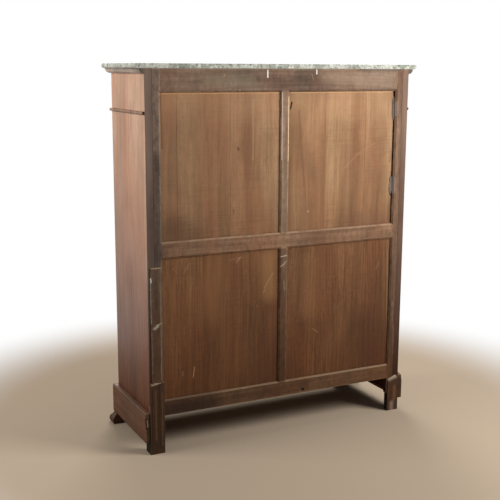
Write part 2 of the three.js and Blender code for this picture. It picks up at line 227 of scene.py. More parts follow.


# A scratch, chip, stain, painted shadow or painted highlight along a line, with a ragged outline
def makeMarkGroup():
    g, place, given = newGroup("mark", {
        "start": (0, 0, 0), "end": (0, 0, 1), "radius": .003, "ragged": .002, "core": .4,
    })
    shake = g.vector("SUBTRACT", g.noise(place, 160, 3, .7)["Color"], (.5, .5, .5))
    place = g.vector("ADD", place, g.scaled(shake, given["ragged"]))
    along = g.vector("SUBTRACT", given["end"], given["start"])
    reach = g.vector("SUBTRACT", place, given["start"])
    share = g.math("DIVIDE", g.vector("DOT_PRODUCT", reach, along),
                   g.vector("DOT_PRODUCT", along, along), clamp=True)
    distance = g.vector("LENGTH", g.vector("SUBTRACT", reach, g.scaled(along, share)))
    return g.close({"mask": g.ramp(distance, given["radius"], g.times(given["radius"], given["core"]))})


# Age and painted shade: smoky blotches, darkening towards the floor that is partly dirt and partly painted
# shade, small pale scuffs, warmer areas and dark specks
def makeAgeAndShadeGroup():
    g, place, given = newGroup("ageAndShade", {"floorReach": 1.2})
    patches = g.drawn(place, (1, 1, .55), 5, 5, .6, .4)
    rise = g.plus(g.parts(place)["Z"], g.times(g.minus(patches, .5), .35))
    flecks = g.drawn(place, (1, 1, .35), 170, 3, .6)
    where = g.noise(place, 7, 3, .6)["Fac"]
    hue = g.noise(g.vector("MULTIPLY", place, (1, 1, .25)), 7, 2)["Color"]
    hue = g.add("ShaderNodeSeparateColor", {"Color": hue}).outputs["Green"]
    specks = g.drawn(place, (1, 1, .5), 75, 5, .7)
    return g.close({
        "blotches": g.ramp(patches, .4, .68),
        "lowDirtAndShade": g.ramp(rise, given["floorReach"], 0.0),
        "scuffs": g.times(g.ramp(flecks, .64, .72), g.ramp(where, .5, .66)),
        "hue": g.ramp(hue, .36, .64),
        "specks": g.ramp(specks, .42, .66),
    })


# Mottled stone: grey ground, pale clouds, dark specks and faint veins
def makeStoneGroup():
    g, place, _ = newGroup("mottled stone", {})
    clouds = g.noise(place, 52, 5, .62, .5)["Fac"]
    specks = g.noise(g.vector("ADD", place, (3, 5, 7)), 95, 4, .6)["Fac"]
    veins = g.math("ABSOLUTE", g.minus(g.noise(place, 6, 6, .62, .5)["Fac"], .5))
    return g.close({
        "ground": g.ramp(g.noise(place, 9, 4, .6)["Fac"], .35, .65),
        "clouds": g.ramp(clouds, .47, .68),
        "specks": g.ramp(specks, .5, .7),
        "veins": g.ramp(veins, .018, .002),
    })


grainGroup = makeGrainGroup()
boardsGroup = makeBoardsGroup()
flameGroup = makeFlameGroup()
edgeGroup = makeEdgeGroup()
markGroup = makeMarkGroup()
ageAndShadeGroup = makeAgeAndShadeGroup()
stoneGroup = makeStoneGroup()
print("shader groups made")


def newMaterial(name):
    material = bpy.data.materials.new(name)
    material.use_nodes = True
    g = Graph(material.node_tree)
    return material, g, g.tree.nodes["Principled BSDF"]


# Colour, roughness and bump joined to a shader
def joinShader(g, shader, colour, rough, height, look):
    relief = {"Strength": look["bump"], "Distance": look["bumpDepth"], "Height": height}
    normal = g.add("ShaderNodeBump", relief).outputs["Normal"]
    inputs = {"Base Color": colour, "Roughness": rough, "Normal": normal,
              "Specular IOR Level": look["specular"]}
    for name, value in inputs.items():
        g.plug(shader.inputs[name], value)


def addObject(name, data):
    thing = bpy.data.objects.new(name, data)
    bpy.context.scene.collection.objects.link(thing)
    return thing


# Woods. Lengths are metres and scales are per metre; shares say how strongly each effect shows.
bareFrameWood = dict(
    dark=rgb(88, 70, 57), light=rgb(152, 127, 106), ring=rgb(84, 64, 50), pore=rgb(46, 34, 26),
    warm=rgb(128, 92, 70), warmShare=.5, scuff=rgb(190, 176, 152), scuffShare=.5,
    tone=.9, rings=.12, streaks=.28, pores=.35, specks=.35, dust=.3, sawn=.12,
    toneScale=10, bandScale=50, streakScale=200, ringScale=20,
    wearAndShade=rgb(166, 142, 116), wearAndShadeWidth=.0085, wearShare=.4,
    dirt=rgb(62, 50, 44), dirtShare=.5, lowTint=(.42, .33, .25, 1), floorReach=1.35,
    roughness=(.6, .85), specular=.14, bump=.25,
)
panelWood = dict(
    dark=rgb(120, 82, 54), light=rgb(206, 160, 116), ring=rgb(108, 70, 42), pore=rgb(70, 44, 28),
    warm=rgb(160, 100, 66), warmShare=.45, scuff=rgb(200, 176, 142), scuffShare=.35,
    tone=1.0, rings=.16, streaks=.2, pores=.22, specks=.12, dust=.3, sawn=.22,
    toneScale=6, bandScale=26, streakScale=150, ringScale=9,
    # The panels' dark edge band is dirt and painted contact shade where they meet the frame
    wearAndShade=rgb(80, 54, 38), wearAndShadeWidth=.018, wearShare=.45,
    dirt=rgb(100, 72, 50), dirtShare=.4, lowTint=(.4, .3, .22, 1), floorReach=1.2,
    roughness=(.5, .75), specular=.18, bump=.2,
)
polishedWood = dict(
    dark=rgb(162, 117, 90), light=rgb(218, 175, 144), ring=rgb(120, 80, 60), pore=rgb(94, 62, 47),
    warm=rgb(204, 138, 100), warmShare=.55, scuff=rgb(184, 158, 138), scuffShare=.2,
    tone=1.0, rings=.08, streaks=.14, pores=.22, specks=.14,
    toneScale=9, bandScale=15, streakScale=140, ringScale=8,
    wearAndShade=rgb(90, 62, 48), wearAndShadeWidth=.0025, wearShare=.4,
    # The sides darken steeply towards the floor: partly faded wood, partly painted reflection of the darker
    # floor
    dirt=rgb(134, 110, 93), dirtShare=.35, lowTint=(.13, .04, 0, 1), floorReach=1.35,
    roughness=(.36, .5), specular=.13, coat=.015, bump=.05,
)
mouldingWood = dict(polishedWood, dark=rgb(170, 151, 135), light=rgb(228, 210, 192), warmShare=.2,
                    wearAndShade=rgb(160, 142, 122), dirt=rgb(82, 74, 62), dirtShare=.55, floorReach=.1,
                    coat=0, specular=.25, roughness=(.5, .7), specks=.4, dust=.2)
# The astragal's dark edges are dirt and painted contact shade against the side
beadWood = dict(mouldingWood, dark=rgb(164, 128, 106), light=rgb(204, 168, 144), wearAndShade=rgb(62, 43, 32),
                wearAndShadeWidth=.0048, wearShare=.9, specular=.15, roughness=(.6, .8), specks=.2, dust=0)
plinthWood = dict(
    dark=rgb(74, 49, 36), light=rgb(120, 83, 62), ring=rgb(54, 35, 26), pore=rgb(35, 23, 17),
    warm=rgb(106, 64, 44), warmShare=.55, scuff=rgb(140, 118, 98), scuffShare=.45,
    tone=.8, rings=.12, streaks=.3, pores=.3, specks=.2, dust=.06,
    toneScale=12, bandScale=55, streakScale=170, ringScale=18,
    wearAndShade=rgb(116, 92, 74), wearAndShadeWidth=.004, wearShare=.3,
    dirt=rgb(46, 35, 28), dirtShare=.4, lowTint=(.55, .47, .4, 1), floorReach=.25,
    roughness=(.45, .65), specular=.16, coat=.03, bump=.1,
)
frontWood = dict(polishedWood, dark=rgb(84, 44, 30), light=rgb(168, 102, 68), ring=rgb(70, 36, 24),
                 rings=.3, warm=rgb(176, 96, 52), streaks=.3, pores=.25, toneScale=13, bandScale=46,
                 lowTint=(.75, .68, .62, 1), floorReach=1.2, roughness=(.26, .38), specular=.4, coat=.6)
drawerWood = dict(
    dark=rgb(150, 114, 78), light=rgb(204, 170, 128), ring=rgb(146, 106, 68), pore=rgb(104, 74, 48),
    warm=rgb(186, 136, 88), warmShare=.4, scuff=rgb(214, 192, 160), scuffShare=.2,
    tone=.75, rings=.4, streaks=.3, pores=.3, specks=.15, dust=.1, sawn=.1,
    toneScale=9, bandScale=35, streakScale=150, ringScale=17,
    wearAndShade=rgb(128, 98, 70), wearAndShadeWidth=.004, wearShare=.35,
    dirt=rgb(112, 88, 66), dirtShare=.35, lowTint=(.8, .76, .7, 1), floorReach=.5,
    roughness=(.6, .8), specular=.3, bump=.15,
)
brokenWood = dict(bareFrameWood, dark=rgb(84, 74, 68), light=rgb(136, 124, 114), warmShare=0, dirtShare=.3,
                  floorReach=.1, wearShare=0, specks=.5)
# Pale colour for faces that look upward: dust, and a painted highlight where light from above falls
dustAndHighlightColour = rgb(186, 168, 142)


# The same look on a darker or paler board
def toned(look, *tint):
    tint = tint * 3 if len(tint) == 1 else tint
    shifted = {key: tuple(value * share for value, share in zip(look[key], tint + (1,)))
               for key in ("dark", "light", "warm", "wearAndShade", "dirt", "ring")}
    return dict(look, **shifted)


grainTurns = {"Z": (0, 0, 0), "X": (0, math.pi / 2, 0), "Y": (math.pi / 2, 0, 0)}
paleMark = (206, 192, 166)
whiteMark = (240, 236, 226)
darkMark = (22, 15, 11)


# A mark on the back: start and end as (x, z), with the radius and raggedness, all in millimetres
def scar(start, end, radius, colour=paleMark, share=.75, ragged=3.0, dent=.4, core=.4):
    return {"start": start, "end": end, "radius": radius / 1000, "colour": rgb(*colour), "share": share,
            "ragged": ragged / 1000, "dent": dent, "core": core}


# A wide soft stain
def stain(start, end, radius, colour, share):
    return scar(start, end, radius, colour, share, ragged=radius * .6, dent=0, core=0)


# Part of a board with another finish or with painted shade, beyond a plane across one axis
def otherFace(axis, start, full, dark, light):
    return {"axis": axis, "start": start, "full": full, "dark": rgb(*dark), "light": rgb(*light)}


# What all the woods share, unless their own looks say otherwise
woodwork = {
    "toneShare": .55, "bandShare": .45, "seamShare": .6, "logStart": (0, .2, 0), "logStep": (.37, .53, 1.7),
    "dustSlope": (.2, .6), "roughFrom": (.2, 1.4), "bareRoughness": .7, "bumpDepth": .0012,
    "coatRoughness": .2, "coatWorn": .4, "coat": 0, "sawn": 0, "dust": 0,
}

# Where each group's seeds start. A seed says from which part of the log a board comes.
seeds = {
    "frame": 0, "strip": 15, "panels": 20, "sides": 30, "splinters": 30, "mouldings": 40, "feet": 50,
    "boards": 60, "veneer": 70, "trays": 80, "knobs": 90, "keyholes": 91,
}


# Marks laid over a board's colour, height and roughness. The plane is the depth of its back face.
def addScars(g, place, plane, scars, colour, height, rough):
    for mark in scars:
        start, end = [(x / 1000, plane, z / 1000) for x, z in (mark["start"], mark["end"])]
        mask = g.group(markGroup, place, {**mark, "start": start, "end": end})["mask"]
        mask = g.times(mask, mark["share"])
        colour = g.mix(mask, colour, mark["colour"])
        height = g.minus(height, g.times(mask, mark["dent"]))
        rough = g.math("MAXIMUM", rough, mask)
    return colour, height, rough


# One wood material. The corners are of the board's own box, and the seed moves it along the log.
def woodMaterial(name, look, corners, grain, seed, boards=None, lean=None, scars=(), plane=backFace,
                 faces=()):
    material, g, shader = newMaterial(name)
    look = {**woodwork, **look}
    coordinates = g.add("ShaderNodeTexCoord").outputs
    place = coordinates["Object"]
    turned = g.group(flameGroup, place, {"lean": lean})["Vector"] if lean else place
    shift = [start + step * seed for start, step in zip(look["logStart"], look["logStep"])]
    turned = g.add("ShaderNodeMapping", {
        "Vector": turned, "Rotation": grainTurns[grain], "Location": shift,
    }).outputs["Vector"]
    if boards:
        split = g.group(boardsGroup, turned, boards)
        turned = split["Vector"]
    figure = g.group(grainGroup, turned, look)
    ageAndShade = g.group(ageAndShadeGroup, place, look)

    # Tone of the wood, then the faces with another finish or with painted shade
    tone = g.plus(g.times(figure["tone"], look["toneShare"]), g.times(figure["bands"], look["bandShare"]))
    if boards:
        tone = g.plus(g.times(tone, 1 - boards["contrast"]), g.times(split["tone"], boards["contrast"]))
    tone = g.plus(g.times(g.minus(tone, .5), look["tone"]), .5)
    colour = g.mix(tone, look["dark"], look["light"])
    colour = g.layer(colour, ageAndShade["hue"], look["warmShare"], look["warm"])
    bare = 0.0
    for face in faces:
        depth = g.parts(place)[face["axis"]]
        if face["axis"] == "X":
            depth = g.math("ABSOLUTE", depth)
        share = g.ramp(depth, face["start"], face["full"])
        colour = g.mix(share, colour, g.mix(figure["bands"], face["dark"], face["light"]))
        bare = g.math("MAXIMUM", bare, share)

    # Grain, age, painted shade and painted highlight laid over it
    for effect, paint in (("rings", "ring"), ("streaks", "ring"), ("pores", "pore"), ("sawn", "ring")):
        if look[effect]:
            colour = g.layer(colour, figure[effect], look[effect], look[paint])
    colour = g.layer(colour, ageAndShade["specks"], look["specks"], look["dirt"])
    if boards:
        colour = g.layer(colour, split["seam"], look["seamShare"], look["pore"])
    colour = g.layer(colour, ageAndShade["blotches"], look["dirtShare"], look["dirt"])
    if corners:
        edges = g.group(edgeGroup, place, {**look, "low": corners[0], "high": corners[1]})
        colour = g.layer(colour, edges["wearAndShade"], look["wearShare"], look["wearAndShade"])
    colour = g.layer(colour, ageAndShade["scuffs"], look["scuffShare"], look["scuff"])
    # Upward faces paler: partly dust, partly a painted highlight
    if look["dust"]:
        upward = g.ramp(g.parts(coordinates["Normal"])["Z"], *look["dustSlope"], 0.0, look["dust"])
        colour = g.mix(upward, colour, dustAndHighlightColour)
    # Darker towards the floor: partly dirt, partly painted shade
    colour = g.mix(1.0, colour, g.mix(ageAndShade["lowDirtAndShade"], (1, 1, 1, 1), look["lowTint"]), "MULTIPLY")

    rough = g.ramp(g.plus(figure["streaks"], ageAndShade["blotches"]), *look["roughFrom"], *look["roughness"])
    colour, height, rough = addScars(g, place, plane, scars, colour, figure["height"], rough)
    rough = g.math("MAXIMUM", rough, g.times(bare, look["bareRoughness"]))
    joinShader(g, shader, colour, rough, height, look)
    if look["coat"]:
        g.plug(shader.inputs["Coat Roughness"], look["coatRoughness"])
        coat = g.ramp(ageAndShade["blotches"], 0.0, 1.0, look["coat"], look["coat"] * look["coatWorn"])
        g.plug(shader.inputs["Coat Weight"], g.times(coat, g.minus(1, bare)))
    return material


def dress(piece, *materials):
    piece.data.materials.clear()
    for material in materials:
        piece.data.materials.append(material)
    return piece


# Finishing: sharp edges slightly rounded, soft shading on the curves, and the object put on its body.
# Lengths are metres. Points closer than merge become one, and touch is the slack of a cut or a seam.
finishing = {
    "edge": .0009, "frameEdge": .0012, "stripEdge": .0005, "steps": 2, "shortest": .012,
    "sharp": math.radians(30), "crisp": math.radians(48), "flat": math.radians(.5),
    "merge": 1e-5, "touch": 1e-6,
}


def addMesh(bm, name):
    mesh = bpy.data.meshes.new(name)
    bm.to_mesh(mesh)
    bm.free()
    return addObject(name, mesh)


def finishPiece(bm, name, body, edge=finishing["edge"]):
    bmesh.ops.recalc_face_normals(bm, faces=bm.faces)
    if edge:
        edges = [e for e in bm.edges if len(e.link_faces) == 2 and e.is_convex
                 and e.calc_face_angle() > finishing["sharp"] and e.calc_length() > finishing["shortest"]]
        bmesh.ops.bevel(bm, geom=edges, offset=edge, offset_type="OFFSET", segments=finishing["steps"],
                        profile=.5, affect="EDGES", clamp_overlap=True, material=-1)
    for face in bm.faces:
        face.smooth = True
    for e in bm.edges:
        e.smooth = len(e.link_faces) == 2 and e.calc_face_angle() < finishing["crisp"]
    piece = addMesh(bm, name)
    even = piece.modifiers.new("even shading", "WEIGHTED_NORMAL")
    even.keep_sharp = True
    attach(piece, body)
    return piece


# A finished piece that takes the place of a CAD node
def standIn(bm, node, body="carcass", edge=finishing["edge"]):
    piece = finishPiece(bm, node + "_piece", body, edge)
    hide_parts(node)
    return piece


# A corner worn off on the back, as a point on the cut and the way the cut faces
wornCorners = {"plinth_left": ((0, .150, .170), (0, .251, .968))}


# A node's own shape again, merged and finished
def refinedPiece(node, body="carcass", edge=finishing["edge"]):
    bm = bmesh.new()
    bm.from_mesh(nodes[node].data)
    bmesh.ops.remove_doubles(bm, verts=bm.verts, dist=finishing["merge"])
    bmesh.ops.dissolve_limit(bm, angle_limit=finishing["flat"], verts=bm.verts, edges=bm.edges)
    if node in wornCorners:
        point, facing = wornCorners[node]
        bmesh.ops.bisect_plane(bm, geom=bm.verts[:] + bm.edges[:] + bm.faces[:], dist=finishing["touch"],
                               plane_co=point, plane_no=facing, clear_outer=True)
        bmesh.ops.holes_fill(bm, edges=[e for e in bm.edges if e.is_boundary], sides=0)
    return standIn(bm, node, body, edge)


# A board of the carcass, in one wood
def makeBoard(node, look, grain, seed, corners=None, edge=finishing["edge"], **details):
    wood = woodMaterial(node, look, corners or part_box(node), grain, seed, **details)
    return dress(refinedPiece(node, edge=edge), wood)


# One more board in a mesh, between two corners
def addBoard(bm, low, high, finish=0):
    low, high = Vector(low), Vector(high)
    verts = bmesh.ops.create_cube(bm, size=1)["verts"]
    bmesh.ops.scale(bm, vec=high - low, verts=verts)
    bmesh.ops.translate(bm, vec=(low + high) / 2, verts=verts)
    for face in {f for v in verts for f in v.link_faces}:
        face.material_index = finish
    return verts


# One plain board with its upright edges cut into equal lengths, to be made uneven
def cutBoard(low, high, cuts):
    bm = bmesh.new()
    addBoard(bm, low, high)
    level = (high[2] - low[2]) / 2
    upright = [e for e in bm.edges if abs(e.verts[0].co.z - e.verts[1].co.z) > level]
    bmesh.ops.subdivide_edges(bm, edges=upright, cuts=cuts, use_grid_fill=True)
    return bm


# Camera: fitted to the edges of the chest, and placed from the carcass's own middle. Angles are radians.
camera = {"place": (1.7397, 3.3938, 1.4825), "heading": 3.602, "pitch": -.194, "roll": .0045,
          "focalPixels": 923.6, "imagePixels": 500, "sensor": 36}


def placeCamera():
    heading, pitch, roll = camera["heading"], camera["pitch"], camera["roll"]
    level = math.cos(pitch)
    forward = Vector((math.sin(heading) * level, math.cos(heading) * level, math.sin(pitch)))
    right = forward.cross(Vector((0, 0, 1))).normalized()
    up = right.cross(forward)
    across = math.cos(roll) * right + math.sin(roll) * up
    upright = math.cos(roll) * up - math.sin(roll) * right
    data = bpy.data.cameras.new("camera")
    data.sensor_width = camera["sensor"]
    data.lens = camera["focalPixels"] / camera["imagePixels"] * camera["sensor"]
    thing = addObject("camera", data)
    turn = Matrix((across, upright, -forward)).transposed().to_4x4()
    middle = Vector((0, (frontFace + backFace) / 2, 0))
    thing.matrix_world = Matrix.Translation(Vector(camera["place"]) + middle) @ turn
    bpy.context.scene.camera = thing


placeCamera()

# Studio: a pale floor that fades to white, a plain sky, and a broad lamp towards the back, side and front
studio = {
    "floorRadius": 40, "floorSides": 96, "floorColour": rgb(168, 151, 131), "floorRoughness": .9,
    "floorSpecular": 0, "fadeFrom": 1.1, "fadeTo": 1.85, "sky": .2, "white": (1, 1, 1, 1),
    "lamps": {
        "key": {"place": (-2.0, 1.95, 2.2), "size": 1.3, "power": 112},
        "fill": {"place": (2.7, -.35, 2.2), "size": 1.4, "power": 53},
        "front": {"place": (-1.0, -3.2, 2.7), "size": 2.0, "power": 122},
    },
    "aim": (0, 0, .95),
}


# Full white where the camera or a reflection sees it, and dimmer as light on the chest
def skyStrength(g):
    path = g.add("ShaderNodeLightPath").outputs
    seen = g.math("MAXIMUM", path["Is Glossy Ray"], path["Is Transmission Ray"])
    seen = g.math("MAXIMUM", path["Is Camera Ray"], seen)
    return g.ramp(seen, 0.0, 1.0, studio["sky"], 1.0)


def makeFloor():
    bm = bmesh.new()
    bmesh.ops.create_circle(bm, cap_ends=True, segments=studio["floorSides"], radius=studio["floorRadius"])
    floor = addMesh(bm, "floor")
    material, g, shader = newMaterial("floor")
    g.plug(shader.inputs["Base Color"], studio["floorColour"])
    g.plug(shader.inputs["Roughness"], studio["floorRoughness"])
    g.plug(shader.inputs["Specular IOR Level"], studio["floorSpecular"])
    away = g.vector("LENGTH", g.add("ShaderNodeTexCoord").outputs["Object"])
    sky = g.add("ShaderNodeEmission", {"Color": studio["white"], "Strength": skyStrength(g)})
    blend = g.add("ShaderNodeMixShader", {
        0: g.ramp(away, studio["fadeFrom"], studio["fadeTo"]), 1: shader.outputs[0], 2: sky.outputs[0],
    })
    g.plug(g.tree.nodes["Material Output"].inputs["Surface"], blend.outputs[0])
    dress(floor, material)


def makeSky():
    world = bpy.data.worlds.new("studio")
    bpy.context.scene.world = world
    world.use_nodes = True
    g = Graph(world.node_tree)
    background = g.tree.nodes["Background"].inputs
    g.plug(background["Color"], studio["white"])
    g.plug(background["Strength"], skyStrength(g))


def placeLamps():
    for name, lamp in studio["lamps"].items():
        data = bpy.data.lights.new(name, "AREA")
        data.size = lamp["size"]
        data.energy = lamp["power"]
        thing = addObject(name, data)
        thing.location = lamp["place"]
        thing.rotation_mode = "QUATERNION"
        thing.rotation_quaternion = (Vector(studio["aim"]) - thing.location).to_track_quat("-Z", "Y")


makeFloor()
makeSky()
placeLamps()
bpy.context.scene.view_settings.view_transform = "Standard"
print("camera and studio ready")

# Back frame and legs. Scars are (x, z) in millimetres on the back face.
hidden = .03  # how far a board's box is taken past a side that something hides, so that no wear shows there
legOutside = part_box("rear_leg_right")[1].x
legInnerFace = -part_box("rear_leg_left")[1].x
# Painted shade: the faces inside the panel grooves darkened to near black
grooveShade = otherFace("Y", panelFace + .001, panelFace - .0008, (34, 26, 21), (46, 36, 29))
# Painted shade: the legs' outer and inner faces, beside the plinth and under the chest, near black
legSideShade = otherFace("X", legOutside - .0015, legOutside - .0003, (26, 19, 15), (42, 31, 24))
legInsideShade = otherFace("X", legInnerFace + .0016, legInnerFace + .0004, (22, 15, 11), (36, 25, 18))
frameParts = {
    "rear_post_left": {"grain": "Z", "tint": (1.52, 1.36, 1.22), "below": (hidden, 0, 0),
                       "changes": {"lowTint": (.22, .16, .1, 1)}, "scars": [
        scar((-538, 492), (-541, 400), 3.5, (150, 124, 106), .4, 22),
        scar((-520, 1345), (-520, 1295), 11, (176, 162, 156), .8, 6, .4, .2),
        scar((-520, 1290), (-520, 1045), 6, (160, 144, 136), .6, 8, .4, 0),
        scar((-520, 1030), (-520, 980), 18, (140, 126, 120), .75, 8, .4, .2),
        # Painted shadow of the marble along the post's top
        scar((-521, 1481), (-551, 1481), 13, (86, 72, 62), .75, 6, .4, 0),
        scar((-546, 390), (-552, 262), 4, (142, 106, 92), .45, 22),
    ]},
    "rear_post_right": {"grain": "Z", "tint": (1.34, 1.48, 1.62), "above": (hidden, 0, 0),
                        "changes": {"lowTint": (.2, .15, .12, 1), "floorReach": 1.9, "specks": .6}, "scars": [
        scar((522, 1388), (522, 1200), 2.6, (150, 136, 106), .5, 8),
        scar((523, 1200), (522, 850), 2.2, (160, 142, 108), .7, 8),
        stain((545, 1150), (545, 800), 60, (52, 40, 36), .5),
    ]},
    "back_muntin_upper": {"grain": "Z", "tint": (1.62, 1.62, 1.55), "scars": [
        scar((-19, 1375), (-19, 1128), 6, (220, 196, 156), .75, 9, .4, .6),
        scar((13.5, 1392), (13.5, 1130), 2.6, (236, 224, 198), .9, 2.5),
        scar((10, 1340), (4, 1240), 4, (176, 166, 152), .35, 18),
        # Painted shadow line in the gap beside the panel
        scar((24, 1390), (23, 860), 1.6, darkMark, .6, 3),
    ]},
    "back_muntin_lower": {"grain": "Z", "tint": (1.03, .94, .8), "scars": [
        scar((16, 740), (-14, 744), 3, (196, 180, 152), .65, 5),
        scar((13, 701), (0, 708), 1.8, (200, 188, 164), .7, 3),
        scar((0, 708), (-17, 724), 1.8, (200, 188, 164), .7, 3),
        scar((-2, 640), (-6, 600), 4, (150, 132, 112), .4, 14),
    ]},
    "back_rail_top": {"grain": "X", "tint": (1.15,), "above": (0, 0, hidden), "scars": [
        scar((78, 1476), (78, 1450), 3.6, whiteMark, .95, 2),
        scar((-139, 1479), (-139, 1463), 3, whiteMark, .95, 2),
        scar((197, 1402), (196, 1396), 4, (200, 178, 150), .6, 4),
        scar((420, 1478), (60, 1479), 2.5, (168, 150, 118), .3, 16),
        scar((60, 1478), (-300, 1479), 2.5, (184, 162, 126), .3, 16),
        stain((330, 1440), (160, 1436), 45, (146, 134, 108), .35),
        stain((-180, 1450), (-330, 1440), 45, (176, 150, 124), .3),
        stain((-360, 1440), (-500, 1436), 60, (190, 160, 134), .25),
        stain((-20, 1420), (60, 1420), 40, (70, 52, 42), .35),
        scar((-118, 1462), (-124, 1440), 3, (160, 138, 116), .4, 10),
        # Painted shadow of the marble along the rail's top
        scar((-330, 1481), (-520, 1481), 12, (92, 78, 66), .6, 8, .4, 0),
    ]},
    "back_rail_middle": {"grain": "X", "tint": (1.58, 1.43, 1.26),
                         "changes": {"dust": .12, "wearShare": .25}, "scars": [
        scar((150, 836), (165, 837), 3, (205, 182, 146), .7, 4),
    ]},
    "back_rail_bottom": {"grain": "X", "tint": (1.36, 1.28, 1.13), "changes": {"dust": .5}, "scars": [
        # Darker along the lower edge at this end: partly dirt, partly painted shade
        stain((540, 170), (320, 172), 90, (30, 20, 14), .75),
        # A nail hole, painted near-black as the shade inside it
        scar((-99, 166), (-99, 164), 6.5, (8, 5, 4), .97, 2, 3, .7),
        scar((-160, 205), (-190, 201), 3, (60, 40, 30), .5, 8),
        # Painted highlight on the chamfer along the rail's top
        scar((515, 215), (80, 215), 1.8, (190, 160, 122), .6, 4),
    ]},
    # The legs are toned much darker: partly dirt, partly painted shade low down
    "rear_leg_left": {"grain": "Z", "tint": (.68, .66, .62), "faces": [legInsideShade], "scars": [
        # Painted highlight on the leg's slanted top
        scar((-534, 150), (-572, 160), 20, (172, 154, 136), .75, 12, .4, 0),
        scar((-562, 108), (-562, 48), 13, (122, 76, 44), .5, 12, .2, 0),
        scar((-549, 34), (-549, 4), 17, (146, 124, 108), .6, 14, .2, 0),
        scar((-577, 46), (-577, 0), 4, darkMark, .6, 4),
    ]},
    "rear_leg_right": {"grain": "Z", "tint": (.5, .48, .44), "faces": [legSideShade], "scars": [
        scar((536, 289), (562, 290), 3, (166, 140, 112), .7, 6),
        scar((572, 284), (550, 287), 6, (170, 150, 126), .7, 8, .4, 0),
        scar((541, 282), (541, 20), 3, darkMark, .55, 7),
        scar((571, 250), (571, 0), 3, darkMark, .55, 8),
        scar((530, 250), (530, 30), 3, (112, 84, 58), .45, 12),
        scar((556, 260), (556, 60), 5, (112, 78, 54), .4, 14),
    ]},
}
for seed, (node, part) in enumerate(frameParts.items(), seeds["frame"]):
    low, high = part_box(node)
    corners = (low - Vector(part.get("below", (0, 0, 0))), high + Vector(part.get("above", (0, 0, 0))))
    look = dict(toned(bareFrameWood, *part["tint"]), **part.get("changes", {}))
    makeBoard(node, look, part["grain"], seed, corners, finishing["frameEdge"], scars=part["scars"],
              plane=high.y, faces=part.get("faces", [grooveShade]))

# Panels: glued boards, with knots, scratches and a slit painted near-black as the shade inside it
knot = (72, 48, 32)
panelParts = {
    "upper_right": {"width": .22, "phase": .3, "contrast": .35, "tint": (.97, 1.03, 1.08),
                    "changes": {"floorReach": 1.6}, "scars": [
        # A paler patch near the top: partly the wood's tone, partly painted light from above
        stain((480, 1375), (60, 1350), 130, (200, 154, 110), .16),
        scar((200, 1182), (199, 1176), 7, knot, .6, 5),
        scar((508, 1391), (30, 1391), 3.5, (210, 156, 102), .5, 5),
        # Painted shadow line along the panel's edge beside the post
        scar((515, 1385), (513, 1190), 4, darkMark, .4, 8),
        stain((490, 880), (400, 850), 110, (70, 46, 32), .5),
        scar((219, 942), (218, 934), 6, knot, .45, 6),
        scar((137, 1364), (136, 1134), 2.5, (196, 150, 108), .45, 5),
    ]},
    "upper_left": {"width": .19, "phase": .1, "contrast": .3, "tint": (1.05, 1.14, 1.16),
                   "changes": {"floorReach": 1.35}, "scars": [
        # A paler patch near the top: partly the wood's tone, partly painted light from above
        stain((-60, 1365), (-460, 1330), 130, (214, 168, 122), .14),
        # The slit: painted near-black as shade
        scar((-33, 1353), (-27, 1329), 4.4, darkMark, .97, 2, 3),
        scar((-30, 1391), (-500, 1391), 3.5, (216, 168, 118), .45, 5),
        stain((-300, 850), (-480, 850), 90, (96, 62, 42), .35),
        scar((-285, 1085), (-345, 1140), 5, (206, 166, 120), .14, 14),
        scar((-345, 1140), (-428, 1182), 3, (206, 166, 120), .16, 10),
        scar((-66, 1320), (-92, 1020), 7, (116, 76, 52), .4, 12),
        scar((-82, 1180), (-108, 900), 5, (120, 80, 54), .35, 12),
        scar((-112, 918), (-116, 914), 5, (206, 156, 104), .5, 5),
    ]},
    # The lower panels are toned darker than the upper ones: partly the wood, partly painted shade low down
    "lower_right": {"width": .2, "phase": .55, "contrast": .3, "tint": (.61, .545, .465),
                    "changes": {"streaks": .42, "pores": .34, "scuffShare": .7}, "scars": [
        scar((82, 619), (42, 676), 2.4, (170, 136, 96), .6, 6),
        stain((66, 740), (58, 600), 70, (160, 118, 76), .4),
        stain((300, 700), (330, 560), 110, (134, 92, 58), .3),
        scar((180, 752), (235, 746), 5, (150, 114, 80), .25, 16),
        scar((150, 640), (146, 560), 3, (150, 112, 76), .25, 18),
        scar((430, 500), (428, 420), 3, (150, 112, 76), .2, 18),
        scar((86, 600), (78, 612), 3, (170, 134, 96), .5, 5),
        scar((430, 712), (405, 750), 3.5, (160, 118, 82), .35, 9),
        scar((394, 289), (389, 330), 3, (176, 132, 86), .65, 5),
        scar((440, 300), (438, 316), 3, (150, 110, 76), .5, 6),
        scar((205, 735), (190, 752), 4, (170, 136, 102), .4, 8),
    ]},
    "lower_left": {"width": .24, "phase": .2, "contrast": .35, "tint": (.72, .65, .57),
                   "changes": {"streaks": .55, "pores": .42, "specks": .3, "scuffShare": .7}, "scars": [
        scar((-142, 423), (-171, 402), 2.5, (170, 132, 96), .36, 5),
        scar((-452, 646), (-467, 675), 2.5, (176, 136, 100), .25, 5),
        scar((-262, 716), (-276, 742), 4, (150, 112, 82), .3, 12),
        stain((-120, 700), (-130, 520), 90, (136, 96, 62), .3),
        stain((-400, 420), (-420, 260), 110, (58, 34, 22), .35),
        scar((-508, 725), (-523, 233), 1.6, (176, 146, 112), .5, 3),
    ]},
}

# Bites are (top, foot, depth), in metres
shrunk = {"panel": "back_panel_upper_left", "cuts": 90, "slack": .0012, "seed": 7,
          "bites": ((1.393, 1.366, .004), (1.28, 1.04, .0012), (1.042, .962, .007))}


